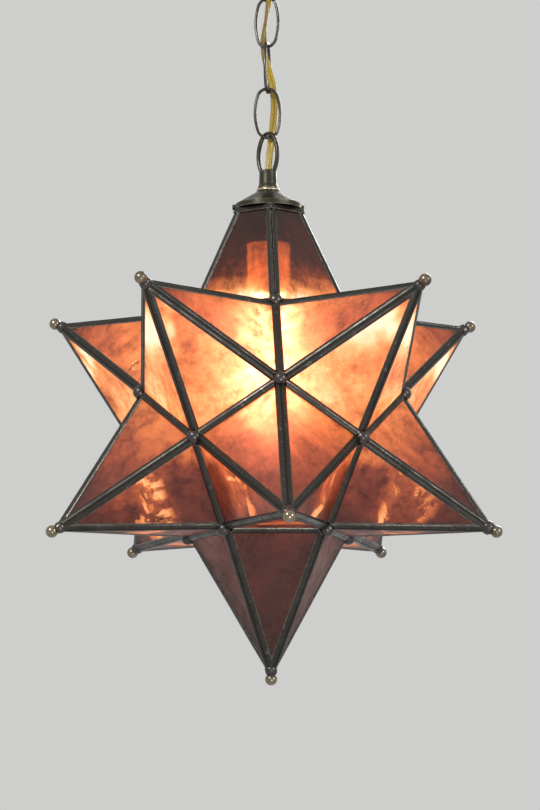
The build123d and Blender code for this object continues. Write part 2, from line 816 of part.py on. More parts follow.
def make_socket():
    skirt = socket_radius + socket_fit
    skirt_outer = skirt + socket_cap_wall
    skirt_bottom = socket_cap_shoulder - socket_cap_skirt
    neck_top_z = socket_neck_bottom + socket_neck_height
    dome_edge = socket_neck_bottom - socket_dome_fall
    save("socket_cap", turned(
        (skirt, skirt_bottom),
        (skirt_outer, skirt_bottom),
        (skirt_outer, socket_cap_shoulder),
        (skirt_outer - socket_dome_round, dome_edge),
        (socket_neck_radius, socket_neck_bottom + socket_cap_wall),
        (socket_neck_radius, neck_top_z),
        (thread_radius, neck_top_z),
        (thread_radius, socket_neck_bottom),
        (skirt_outer - socket_dome_round - socket_cap_wall, dome_edge - socket_cap_wall),
        (skirt, socket_cap_shoulder),
    ))
    save("socket_shell", turned(
        (socket_radius - socket_shell_wall, socket_mouth),
        (socket_radius, socket_mouth),
        (socket_radius, socket_top),
        (socket_radius - socket_shell_wall, socket_top),
    ))
    save("socket_liner", turned(
        (liner_inner, socket_mouth - liner_show),
        (liner_outer, socket_mouth - liner_show),
        (liner_outer, socket_top - socket_fit),
        (liner_inner, socket_top - socket_fit),
    ))
    interior = turned(
        (0, interior_bottom),
        (liner_inner - socket_fit, interior_bottom),
        (liner_inner - socket_fit, interior_top - interior_chamfer),
        (liner_inner - socket_fit - interior_chamfer, interior_top),
        (0, interior_top),
    )
    screws = []
    for side in (1, -1):
        place = Vector(side * terminal_screw_place, 0, interior_top)
        seat = place + up * seat_gap
        crown = seat + up * terminal_head_height
        hole_end = place - up * (terminal_screw_length + seat_gap)
        interior -= rod(hole_end, crown, terminal_screw_dia / 2 + thread_play)
        shank = rod(place - up * terminal_screw_length, crown, terminal_screw_dia / 2)
        head = rod(seat, crown, terminal_head_dia / 2)
        slot = Pos(*crown) * Box(screw_slot_width, 2 * terminal_head_dia, 2 * screw_slot_depth)
        screws.append(biggest(shank + head - slot))
    save("socket_interior", biggest(interior))
    save("terminal_screws", *screws)
    inner = screw_shell_radius - screw_shell_wall
    flange = interior_bottom - seat_gap
    save("screw_shell", turned(
        (inner, flange - screw_shell_length),
        (screw_shell_radius, flange - screw_shell_length),
        (screw_shell_radius, flange),
        (contact_hole_radius, flange),
        (contact_hole_radius, flange - screw_shell_wall),
        (inner, flange - screw_shell_wall),
    ))
    save("socket_contact", turned(
        (0, contact_bottom),
        (contact_radius, contact_bottom),
        (contact_radius, contact_bottom + contact_sheet),
        (contact_stem_radius, contact_bottom + contact_sheet),
        (contact_stem_radius, interior_bottom - seat_gap),
        (0, interior_bottom - seat_gap),
    ))


# ---- bulb ----

def bulb_profile(inset):
    """Half outline of the glass tube, from its neck down to its rounded end."""
    neck = bulb_neck_radius - inset
    wide = bulb_radius - inset
    neck_end = bulb_base_bottom - bulb_neck_show
    shoulder = neck_end - bulb_shoulder_length
    end = bulb_bottom + inset
    round_start = bulb_bottom + bulb_radius
    bend = wide / math.sqrt(2)
    half_way = ((neck + wide) / 2, (neck_end + shoulder) / 2)
    flank = (neck + (half_way[0] - neck) * bulb_flank_share, (neck_end + half_way[1]) / 2)
    far_flank = (wide - (wide - half_way[0]) * bulb_flank_share, (shoulder + half_way[1]) / 2)
    return [
        Line((neck, 0, bulb_base_bottom + bulb_neck_length), (neck, 0, neck_end)),
        ThreePointArc((neck, 0, neck_end), (flank[0], 0, flank[1]), (half_way[0], 0, half_way[1])),
        ThreePointArc((half_way[0], 0, half_way[1]), (far_flank[0], 0, far_flank[1]), (wide, 0, shoulder)),
        Line((wide, 0, shoulder), (wide, 0, round_start)),
        ThreePointArc((wide, 0, round_start), (bend, 0, round_start - bend), (0, 0, end)),
    ]


def make_bulb():
    rim = bulb_base_bottom + bulb_neck_length
    edges = bulb_profile(0) + bulb_profile(bulb_wall)
    edges.append(Line((bulb_neck_radius - bulb_wall, 0, rim), (bulb_neck_radius, 0, rim)))
    edges.append(Line((0, 0, bulb_bottom), (0, 0, bulb_bottom + bulb_wall)))
    save("bulb_glass", biggest(revolve(make_face(edges), Axis.Z)))

    inner = bulb_base_radius - bulb_base_wall
    save("bulb_base", turned(
        (inner, bulb_base_bottom),
        (bulb_base_radius, bulb_base_bottom),
        (bulb_base_radius, bulb_base_top - bulb_cone_height),
        (bulb_cone_radius, bulb_base_top),
        (bulb_cone_radius - bulb_base_wall, bulb_base_top),
        (inner, bulb_base_top - bulb_cone_height - bulb_base_wall),
    ))
    save("bulb_insulator", turned(
        (0, bulb_base_top - bulb_insulator_seat),
        (bulb_cone_radius - 2 * bulb_base_wall, bulb_base_top - bulb_insulator_seat),
        (bulb_cone_radius - 2 * bulb_base_wall, bulb_base_top),
        (bulb_contact_radius + bulb_contact_slope, bulb_cone_top - seat_gap),
        (0, bulb_cone_top - seat_gap),
    ))
    save("bulb_contact", turned(
        (0, bulb_cone_top),
        (bulb_contact_radius, bulb_cone_top),
        (bulb_contact_radius - bulb_contact_slope, bulb_top),
        (0, bulb_top),
    ))
    stem_top = rim - stem_drop
    flare = bulb_neck_radius - bulb_wall - socket_fit
    stem_bottom = rim - stem_length
    flare_low = stem_top - stem_length / 4
    save("bulb_stem", turned(
        (0, stem_top),
        (flare, stem_top),
        (flare, stem_top - bulb_wall),
        (2 * stem_radius, flare_low),
        (stem_radius, flare_low - stem_length / 4),
        (stem_radius, stem_bottom),
        (0, stem_bottom),
    ))
    wire = filament_wire / 2
    start = stem_bottom - seat_gap - wire
    shoulder = start - filament_spread
    points = [
        (-filament_foot, 0, start),
        (-filament_spread, 0, shoulder),
        (-filament_spread / 2, 0, shoulder - filament_drop),
        (0, 0, shoulder - filament_foot),
        (filament_spread / 2, 0, shoulder - filament_drop),
        (filament_spread, 0, shoulder),
        (filament_foot, 0, start),
    ]
    filament = rod(points[0], points[1], wire)
    for start, end in zip(points[1:], points[2:]):
        filament += rod(start, end, wire) + Pos(*start) * Sphere(wire)
    save("bulb_filament", biggest(filament))


# ---- supply cord ----
# It runs up the lamp pipe, out through the hang loop's foot, behind the lowest link, through the
# next two and up beside the last into the canopy loop.

def bearing_point(first_height, second_height, degrees, radius):
    """A point beside the place where two links bear, at an angle about the axis."""
    angle = math.radians(degrees)
    height = (first_height + second_height) / 2
    return (radius * math.cos(angle), radius * math.sin(angle), height)


def make_cord():
    route = [
        (0, 0, -ceiling_gap),
        (0, 0, canopy_loop_foot - cord_lead),
        bearing_point(canopy_loop_end, link_tops[0], 281, 9.9),
        bearing_point(link_bottoms[0], link_tops[1], 286, 7.4),
        bearing_point(link_bottoms[1], link_tops[2], 118, 9.5),
        bearing_point(link_bottoms[2], link_tops[3], 26, 7.7),
        bearing_point(link_bottoms[3], hang_loop_end, 55, 6.7),
        (0, 0, hang_foot_top + cord_lead),
        (0, 0, nipple_bottom - wiring_space),
    ]
    points = [Vector(*point) for point in route]
    radii = []
    for before, here, after in zip(points, points[1:], points[2:]):
        turn = math.radians((here - before).get_angle(after - here))
        shorter = min((here - before).length, (after - here).length)
        radii.append(cord_bend_share * shorter / math.tan(turn / 2))
    print("cord radii", [round(radius) for radius in radii])
    path = FilletPolyline(*points, radius=radii)
    section = Plane(origin=path @ 0, z_dir=path % 0) * Circle(cord_dia / 2)
    cord = sweep(section, path=path)
    print("cord length", round(path.length), "volume ratio", cord.volume / (section.area * path.length))
    save("supply_cord", biggest(cord))


def main():
    os.makedirs("parts", exist_ok=True)
    make_star()
    make_neck_frame()
    make_cap()
    make_hang_loop()
    make_chain()
    make_canopy_loop()
    make_canopy()
    make_collar_ring()
    make_crossbar()
    make_socket()
    make_bulb()
    make_cord()
    print("star middle", round(star_height, 2), "socket", round(socket_mouth - star_height, 2),
          "bulb", round(bulb_bottom - star_height, 2), "cap", round(cap_bottom - star_height, 2))


main()
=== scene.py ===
# %% [markdown]
# # A leaded-glass star lamp
# This lesson dresses a hanging star lamp: sixty flat panes of copper-coloured glass, held in folded
# metal came, round a lit tubular bulb. The solid frame is loaded first and is never moved. Every
# cell after it adds one finish or one piece, and says why it was made that way.

# %% Load the frame
import math

import bpy
import bmesh
from mathutils import Matrix, Vector
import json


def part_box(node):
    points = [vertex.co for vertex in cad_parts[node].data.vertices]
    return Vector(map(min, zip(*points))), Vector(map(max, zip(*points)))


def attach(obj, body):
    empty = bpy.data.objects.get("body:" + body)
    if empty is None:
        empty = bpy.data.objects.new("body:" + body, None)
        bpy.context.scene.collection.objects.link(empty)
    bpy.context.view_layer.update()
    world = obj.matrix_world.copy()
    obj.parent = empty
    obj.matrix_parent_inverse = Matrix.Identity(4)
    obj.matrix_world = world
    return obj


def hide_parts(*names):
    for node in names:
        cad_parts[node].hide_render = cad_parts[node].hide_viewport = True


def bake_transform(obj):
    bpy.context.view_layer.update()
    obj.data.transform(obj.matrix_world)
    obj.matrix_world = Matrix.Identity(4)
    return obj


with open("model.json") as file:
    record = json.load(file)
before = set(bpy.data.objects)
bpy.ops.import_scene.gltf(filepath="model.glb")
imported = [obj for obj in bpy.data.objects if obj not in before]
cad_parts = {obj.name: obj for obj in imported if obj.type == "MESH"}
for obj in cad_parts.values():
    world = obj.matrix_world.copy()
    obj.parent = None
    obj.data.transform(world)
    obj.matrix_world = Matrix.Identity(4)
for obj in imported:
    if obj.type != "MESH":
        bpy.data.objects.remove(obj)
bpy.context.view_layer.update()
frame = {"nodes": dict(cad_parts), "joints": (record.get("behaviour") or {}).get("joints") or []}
nodes = frame["nodes"]
mm = 0.001

# %% [markdown]
# The heights that later cells need are read from the frame, so that nothing is typed twice. The
# star's middle is half way between its highest and its lowest junction.

# %% Measure the frame
(_, _, bulb_bottom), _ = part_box("bulb_glass")
(_, _, socket_bottom), (_, _, socket_top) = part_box("socket_shell")
balls_low, balls_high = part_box("junction_balls")
star_middle = Vector((0, 0, (balls_low[2] + balls_high[2]) / 2))
print("star middle", round(star_middle.z, 4))
print("bulb from", round(bulb_bottom, 4), "to", round(socket_bottom, 4))

# %% [markdown]
# Node trees get long, so a small helper adds one node, sets its plain values and links its inputs
# in a single line. Two functions make a new object in the scene, and a new material.

# %% Helpers


class Board:
    """A node tree with short ways to add nodes and link them."""

    def __init__(self, tree):
        self.tree = tree

    def give(self, sockets, values):
        """Links each value that is a socket, and sets each plain one."""
        for key, value in values.items():
            if isinstance(value, bpy.types.NodeSocket):
                self.tree.links.new(value, sockets[key])
            else:
                sockets[key].default_value = value

    def add(self, kind, inputs=None, **settings):
        node = self.tree.nodes.new(kind)
        for key, value in settings.items():
            setattr(node, key, value)
        self.give(node.inputs, inputs or {})
        return node

    def math(self, operation, a, b=0.0, clamp=False):
        node = self.add("ShaderNodeMath", {0: a, 1: b}, operation=operation, use_clamp=clamp)
        return node.outputs[0]

    def product(self, first, *others, clamp=False):
        """All the values multiplied, in their order."""
        for other in others:
            first = self.math("MULTIPLY", first, other, clamp=clamp)
        return first

    def vector(self, operation, a, b=None, scale=None):
        given = {0: a} if b is None else {0: a, 1: b}
        if scale is not None:
            given[3] = scale
        node = self.add("ShaderNodeVectorMath", given, operation=operation)
        return node.outputs["Value" if operation in ("LENGTH", "DOT_PRODUCT") else "Vector"]

    def parts(self, vector):
        """The X, Y and Z of a vector."""
        return self.add("ShaderNodeSeparateXYZ", {0: vector}).outputs

    def mix(self, factor, a, b):
        node = self.add("ShaderNodeMix", data_type="RGBA")
        self.give(node.inputs, {0: factor, 6: a, 7: b})
        return node.outputs[2]

    def noise(self, vector, scale, detail=3.0, roughness=0.55, distortion=0.0):
        return self.add("ShaderNodeTexNoise", {
            "Vector": vector, "Scale": scale, "Detail": detail, "Roughness": roughness,
            "Distortion": distortion,
        }).outputs["Fac"]

    def bump(self, height, strength, distance):
        given = {"Height": height, "Strength": strength, "Distance": distance}
        return self.add("ShaderNodeBump", given).outputs["Normal"]

    def ramp(self, factor, *stops):
        node = self.add("ShaderNodeValToRGB", {"Fac": factor})
        band = node.color_ramp.elements
        while len(band) < len(stops):
            band.new(0.5)
        for element, (position, color) in zip(band, stops):
            element.position = position
            element.color = (*color, 1)
        return node.outputs["Color"]

    def span(self, value, low, high, to_low=0.0, to_high=1.0):
        return self.add("ShaderNodeMapRange", {
            "Value": value, "From Min": low, "From Max": high, "To Min": to_low, "To Max": to_high,
        }).outputs["Result"]


def new_object(name, data):
    """An object in the scene, for a mesh, a curve, a light or a camera."""
    made = bpy.data.objects.new(name, data)
    bpy.context.scene.collection.objects.link(made)
    return made


def new_material(name):
    """A material, the helper for its tree, and its shader."""
    material = bpy.data.materials.new(name)
    material.use_nodes = True
    board = Board(material.node_tree)
    return material, board, material.node_tree.nodes["Principled BSDF"]


print("helpers ready:", len([name for name in vars(Board) if name[0] != "_"]), "ways to add nodes")

# %% [markdown]
# A camera stands where the photographer stood: a little below the star, a little left of its front,
# and nearly two metres away, so the perspective of the spikes comes out right.

# %% Camera
view_place = (-0.1439, -1.8925, star_middle.z - 0.25305)
view_direction = Vector((0.0753, 0.9872, 0.1403)).normalized()
view_roll = math.radians(-0.36)
camera_data = bpy.data.cameras.new("view")
camera_data.lens = 107.65
camera_data.sensor_width = 36
camera = new_object("view", camera_data)
turn = view_direction.to_track_quat("-Z", "Y").to_matrix() @ Matrix.Rotation(view_roll, 3, "Z")
camera.matrix_world = Matrix.Translation(view_place) @ turn.to_4x4()
bpy.context.scene.camera = camera
print("camera", round((Vector(view_place) - star_middle).length, 2), "m from the star")

# %% [markdown]
# The stage is one pale floor, as far below the ceiling as in a real room, so the lamp can be seen
# from every side and from below. The world is as pale to the camera, to mirrors and through glass,
# and gives the object itself a plain, soft light.

# %% Stage and light
pale = (0.80, 0.80, 0.79)
own_share = 0.5                # how much of the floor's paleness is its own light
seen_color = (0.62, 0.62, 0.61, 1)
world_light, world_strength = (0.92, 0.95, 1.0, 1), 0.42
floor_height, floor_radius, floor_sides = -2.6, 9.0, 64
lamp_centre = Vector((0, 0, -0.45))
soft_lights = {                # place, size and power
    "key": ((-1.5, -1.7, 0.9), 0.7, 36),
    "fill": ((1.9, -1.5, 0.1), 0.9, 16),
    "low": ((0.3, -1.7, -1.2), 0.6, 7),
    "rim": ((0.9, 1.7, 0.6), 0.8, 20),
}


def looking_rays(board, strength):
    """strength for rays of the camera, of mirrors and through glass, and 0 for rays of light."""
    path = board.add("ShaderNodeLightPath").outputs
    seen = board.math("MAXIMUM", path["Is Camera Ray"], path["Is Glossy Ray"])
    seen = board.math("MAXIMUM", seen, path["Is Transmission Ray"])
    return board.math("MULTIPLY", seen, strength)


def paper_material():
    """Pale paper. Rays that only look see some light of its own, so that no corner goes dark."""
    material, board, shader = new_material("floor_paper")
    board.give(shader.inputs, {
        "Base Color": [(1 - own_share) * part for part in pale] + [1],
        "Roughness": 0.9,
        "Specular IOR Level": 0.1,
        "Emission Color": (*pale, 1),
        "Emission Strength": looking_rays(board, own_share),
    })
    return material


def make_floor():
    """A round floor, flat and facing up."""
    mesh = bpy.data.meshes.new("floor")
    turns = [2 * math.pi * side / floor_sides for side in range(floor_sides)]
    rim = [(floor_radius * math.cos(turn), floor_radius * math.sin(turn), floor_height)
           for turn in turns]
    mesh.from_pydata(rim, [], [tuple(range(floor_sides))])
    mesh.materials.append(paper_material())
    floor = new_object("floor", mesh)


def soft_light(name, place, size, power):
    data = bpy.data.lights.new(name, "AREA")
    data.shape = "SQUARE"
    data.size = size
    data.energy = power
    light = new_object(name, data)
    light.location = place
    light.rotation_euler = (lamp_centre - Vector(place)).to_track_quat("-Z", "Y").to_euler()


def pale_world():
    """One plain light for the object, and another colour for the rays that look past it."""
    world = bpy.data.worlds.new("studio")
    bpy.context.scene.world = world
    world.use_nodes = True
    world.node_tree.nodes.clear()
    board = Board(world.node_tree)
    light = board.add("ShaderNodeBackground", {"Color": world_light, "Strength": world_strength})
    seen = board.add("ShaderNodeBackground", {"Color": seen_color, "Strength": 1.0})
    mixed = board.add("ShaderNodeMixShader", {
        0: looking_rays(board, 1.0), 1: light.outputs[0], 2: seen.outputs[0],
    })
    board.add("ShaderNodeOutputWorld", {"Surface": mixed.outputs[0]})


make_floor()
for name, (place, size, power) in soft_lights.items():
    soft_light(name, place, size, power)
pale_world()
bpy.context.scene.view_settings.view_transform = "Standard"
print("stage, world and", len(soft_lights), "soft lights")

# %% [markdown]
# All the metal on this lamp is old: dark where the patina has settled, brighter on the edges that
# hands and cloths rub. One group makes that for every metal. A Bevel node finds the edges, noise
# breaks them up, and a slow noise lays the patina in clouds. An ambient-occlusion node adds painted
# shade, with some settled dirt, in the hollows and corners.

# %% Aged metal group
color_socket, number_socket = "NodeSocketColor", "NodeSocketFloat"


def new_group(name, inputs, outputs):
    """A shader node group with its sockets, ready to be filled."""
    group = bpy.data.node_groups.new(name, "ShaderNodeTree")
    for label, kind, value in inputs:
        group.interface.new_socket(label, in_out="INPUT", socket_type=kind).default_value = value
    for label, kind in outputs:
        group.interface.new_socket(label, in_out="OUTPUT", socket_type=kind)
    board = Board(group)
    return group, board, board.add("NodeGroupInput").outputs, board.add("NodeGroupOutput").inputs


def build_aged_metal():
    group, board, given, out = new_group(
        "aged_metal",
        [
            ("Metal", color_socket, (0.2, 0.2, 0.2, 1)),
            ("Worn", color_socket, (0.5, 0.5, 0.5, 1)),
            ("Patina", color_socket, (0.1, 0.12, 0.1, 1)),
            ("Patina Amount", number_socket, 0.5),
            ("Wear Amount", number_socket, 0.6),
            ("Edge Width", number_socket, 0.6 * mm),
            ("Smoothness", number_socket, 0.35),
            ("Grain", number_socket, 900.0),
        ],
        [("Color", color_socket), ("Roughness", number_socket), ("Metallic", number_socket),
         ("Height", number_socket)],
    )
    place = board.add("ShaderNodeTexCoord").outputs["Object"]
    rounded = board.add("ShaderNodeBevel", {"Radius": given["Edge Width"]}, samples=4)
    true_normal = board.add("ShaderNodeNewGeometry").outputs["Normal"]
    facing = board.vector("DOT_PRODUCT", rounded.outputs["Normal"], true_normal)
    edge = board.span(facing, 0.995, 0.80)
    scratches = board.noise(place, 420, 4, 0.65)
    worn = board.product(edge, board.span(scratches, 0.36, 0.56), clamp=True)
    rubbed = board.span(board.noise(place, 160, 4, 0.7), 0.60, 0.74)
    worn = board.math("MAXIMUM", worn, board.product(rubbed, 0.35))
    worn = board.product(worn, given["Wear Amount"], clamp=True)
    clouds = board.span(board.noise(place, 55, 5, 0.62, 0.4), 0.42, 0.62)
    spots = board.span(board.noise(place, 480, 3, 0.6), 0.52, 0.66)
    patina = board.math("MAXIMUM", clouds, board.product(spots, 0.6))
    patina = board.product(patina, given["Patina Amount"], clamp=True)
    color = board.mix(patina, given["Metal"], given["Patina"])
    # painted shade, with some settled dirt: darker in the hollows and corners that ambient
    # occlusion finds
    light_reach = board.add("ShaderNodeAmbientOcclusion", {"Distance": 3 * mm}, samples=4)
    dirt_and_shade = board.span(light_reach.outputs["AO"], 0.75, 0.30, 0.0, 0.8)
    color = board.mix(dirt_and_shade, color, (0.012, 0.011, 0.009, 1))
    color = board.mix(worn, color, given["Worn"])
    fine = board.noise(place, given["Grain"], 3, 0.6)
    rough = board.math("ADD", given["Smoothness"], board.product(patina, 0.22))
    rough = board.math("SUBTRACT", rough, board.product(worn, 0.14))
    uneven = board.product(board.math("SUBTRACT", fine, 0.5), 0.12)
    board.give(out, {
        "Color": color,
        "Roughness": board.math("ADD", rough, uneven, clamp=True),
        "Metallic": board.math("SUBTRACT", 0.96, board.product(patina, 0.30), clamp=True),
        "Height": board.math("ADD", board.product(fine, 0.4), board.product(patina, 0.5)),
    })
    return group


aged_metal = build_aged_metal()


def metal_finish(name, metal, worn, patina, amount=0.5, wear=0.6, edge=0.6, smooth=0.35, bump=0.25):
    """A material that places the aged-metal group with its own colours. edge is in millimetres."""
    material, board, shader = new_material(name)
    aged = board.add("ShaderNodeGroup", {}, node_tree=aged_metal)
    board.give(aged.inputs, {
        "Metal": (*metal, 1), "Worn": (*worn, 1), "Patina": (*patina, 1), "Patina Amount": amount,
        "Wear Amount": wear, "Edge Width": edge * mm, "Smoothness": smooth,
    })
    board.give(shader.inputs, {
        "Base Color": aged.outputs["Color"],
        "Metallic": aged.outputs["Metallic"],
        "Roughness": aged.outputs["Roughness"],
        "Normal": board.bump(aged.outputs["Height"], bump, 0.2 * mm),
    })
    return material


# each metal's own colour, its colour where worn, and the colour of its patina
came_metal = metal_finish(
    "antique_came", (0.070, 0.063, 0.054), (0.50, 0.46, 0.40), (0.026, 0.025, 0.021),
    amount=0.8, wear=0.9, edge=1.0, smooth=0.25)
solder_metal = metal_finish(
    "tarnished_solder", (0.100, 0.090, 0.085), (0.40, 0.36, 0.33), (0.045, 0.041, 0.038),
    amount=0.6, wear=0.3, edge=0.4, smooth=0.23, bump=0.2)
tip_metal = metal_finish(
    "worn_brass_ball", (0.30, 0.245, 0.17), (0.85, 0.74, 0.56), (0.060, 0.054, 0.043),
    amount=0.8, wear=0.8, edge=0.4, smooth=0.17, bump=0.15)
bronze = metal_finish(
    "antique_bronze", (0.070, 0.062, 0.042), (0.46, 0.40, 0.28), (0.032, 0.034, 0.025),
    amount=0.75, wear=0.8, edge=1.0, smooth=0.26)
bright_brass = metal_finish(
    "bright_brass", (0.66, 0.57, 0.40), (0.95, 0.86, 0.68), (0.17, 0.14, 0.09),
    edge=0.5, smooth=0.18, bump=0.1)
chain_metal = metal_finish(
    "antique_chain", (0.10, 0.093, 0.080), (0.62, 0.58, 0.52), (0.036, 0.035, 0.030),
    amount=0.7, wear=0.8, edge=0.5, smooth=0.18, bump=0.2)
zinc = metal_finish(
    "zinc_plate", (0.55, 0.54, 0.50), (0.80, 0.79, 0.76), (0.38, 0.37, 0.32),
    amount=0.4, wear=0.5, smooth=0.32)
green_screw = metal_finish(
    "green_ground_screw", (0.06, 0.26, 0.12), (0.55, 0.60, 0.55), (0.04, 0.14, 0.07),
    amount=0.4, wear=0.7)
socket_brass = metal_finish(
    "lampholder_brass", (0.62, 0.48, 0.25), (0.85, 0.72, 0.45), (0.30, 0.22, 0.11),
    amount=0.35, wear=0.5, smooth=0.28)
# the lampholder brass again, with painted light from the bulb added below
lit_brass = metal_finish(
    "lit_lampholder_brass", (0.66, 0.47, 0.22), (0.90, 0.74, 0.45), (0.34, 0.21, 0.09),
    amount=0.35, wear=0.5, smooth=0.28)
bulb_cap = metal_finish(
    "bulb_cap_metal", (0.72, 0.71, 0.69), (0.90, 0.90, 0.88), (0.45, 0.44, 0.42),
    amount=0.3, wear=0.4, smooth=0.25)


def add_bulb_light(material, strength):
    """Painted light, as emission: the bulb's light thrown up the lampholder, strongest at its
    mouth, in upright streaks.
    """
    board = Board(material.node_tree)
    place = board.add("ShaderNodeTexCoord").outputs["Object"]
    upright = board.vector("MULTIPLY", place, (1.0, 1.0, 0.12))
    streak = board.span(board.noise(upright, 90, 3, 0.6), 0.36, 0.66, 0.35, 1.0)
    fall = board.span(board.parts(place)["Z"], socket_bottom, socket_top, 1.0, 0.35)
    thrown = board.vector("SCALE", (1.0, 0.62, 0.30), scale=board.product(streak, fall))
    shader = material.node_tree.nodes["Principled BSDF"]
    board.give(shader.inputs, {"Emission Color": thrown, "Emission Strength": strength})


add_bulb_light(lit_brass, 9.0)
print("aged metal placed in", aged_metal.users, "materials")

# %% [markdown]
# The glass is antique copper glass: clear in places, smoky and wispy in others. Its glow is painted
# light, an emission that stands for the bulb's light soaking through, so panes near the bulb glow
# amber and those far from it stay maroon. The glow is worked out from where a point of glass lies
# from the bulb, so it stays put from every side. Painted glints stand for light that bounces inside
# a spike and gathers near its point, for light broken up in the lower spikes, and for light caught
# beside the cracks and on the seeds. Painted shade darkens the glass where it runs into a corner.

# %% Copper glass group
bulb_reach = (0.02, 0.07)      # the light starts between these heights above the bulb's end
bulb_power = 0.0052
height_span = 200              # the ramp covers this far below and above the middle, in mm
levels = (                     # height above the star's middle in mm, and its share of the light
    (-130, 0.05), (-92, 0.06), (-62, 0.36), (-25, 0.43), (12, 0.62), (85, 0.66), (95, 0.34),
    (103, 0.12), (114, 0.035), (130, 0.018),
)
glow_colors = (                # how bright a point is lit, and the colour it glows
    (0.0, (0.004, 0.0006, 0.0004)),
    (0.04, (0.030, 0.005, 0.002)),
    (0.09, (0.19, 0.036, 0.010)),
    (0.20, (0.45, 0.130, 0.032)),
    (0.42, (0.80, 0.30, 0.085)),
    (0.70, (0.98, 0.58, 0.26)),
    (1.0, (1.0, 0.86, 0.62)),
)


def bulb_light(board, place, facing, rise, tilt):
    """Painted light, by how far the bulb is, how squarely it meets the pane, and how high the pane
    is.
    """
    low, high = (bulb_bottom + height for height in bulb_reach)
    near = board.add("ShaderNodeClamp", {"Value": board.parts(place)["Z"], "Min": low, "Max": high})
    bulb_point = board.add("ShaderNodeCombineXYZ", {"Z": near.outputs[0]}).outputs[0]
    away = board.vector("SUBTRACT", place, bulb_point)
    distance = board.vector("LENGTH", away)
    square_on = board.vector("DOT_PRODUCT", board.vector("NORMALIZE", away), facing)
    light = board.product(board.math("ABSOLUTE", square_on), bulb_power)
    light = board.math("DIVIDE", light, board.product(distance, distance))
    level = board.ramp(board.span(rise, -height_span * mm, height_span * mm), *[
        (0.5 + height / (2 * height_span), (part, part, part)) for height, part in levels])
    return board.product(light, board.product(level, board.math("SUBTRACT", 2.9, tilt)))


def gathered_light(board, own, reach, rise, tilt):
    """Painted light for what bounces inside an upper spike and gathers under its point."""
    ring = board.product(board.span(reach, 0.128, 0.152), board.span(reach, 0.182, 0.160))
    under = board.product(board.span(tilt, 0.42, 0.20), board.span(rise, 0.030, 0.055))
    under = board.product(under, board.span(rise, 0.108, 0.098))
    streaks = board.span(board.noise(own, 20, 3, 0.5, 0.6), 0.38, 0.54)
    return board.product(board.product(ring, under), streaks)


def low_glints(board, own, reach, rise, tilt):
    """Painted glints with jagged edges in the lower spikes, and beside them a patch of painted
    shade from the came.
    """
    low = board.product(board.span(rise, -0.034, -0.044), board.span(rise, -0.092, -0.082))
    low = board.product(low, board.span(tilt, -0.20, -0.35))
    glint = board.product(board.span(reach, 0.123, 0.127), board.span(reach, 0.158, 0.138))
    jagged = board.span(board.noise(own, 34, 6, 0.72, 0.8), 0.50, 0.56)
    shaded = board.product(low, board.span(reach, 0.128, 0.118))
    return board.product(board.product(glint, low), jagged), shaded


def fine_cracks(board, own, mottle):
    """Dark hair cracks, and a painted glint beside each."""
    wander = board.add("ShaderNodeTexNoise", {
        "Vector": own, "Scale": 24.0, "Detail": 5.0, "Roughness": 0.7,
    }).outputs["Color"]
    bent = board.vector("ADD", own, board.vector("SCALE", wander, scale=0.035))
    from_edge = board.add("ShaderNodeTexVoronoi", {"Vector": bent, "Scale": 15.0},
                          feature="DISTANCE_TO_EDGE").outputs["Distance"]
    kept = board.span(board.noise(own, 17, 2, 0.5), 0.58, 0.66)
    crack = board.product(board.span(from_edge, 0.014, 0.004), kept, clamp=True)
    # painted glint: a bright line beside each crack, where the glass is mottled
    beside = board.math("ABSOLUTE", board.math("SUBTRACT", from_edge, 0.028))
    beside = board.product(board.span(beside, 0.022, 0.004), kept, board.span(mottle, 0.5, 0.9))
    return crack, beside


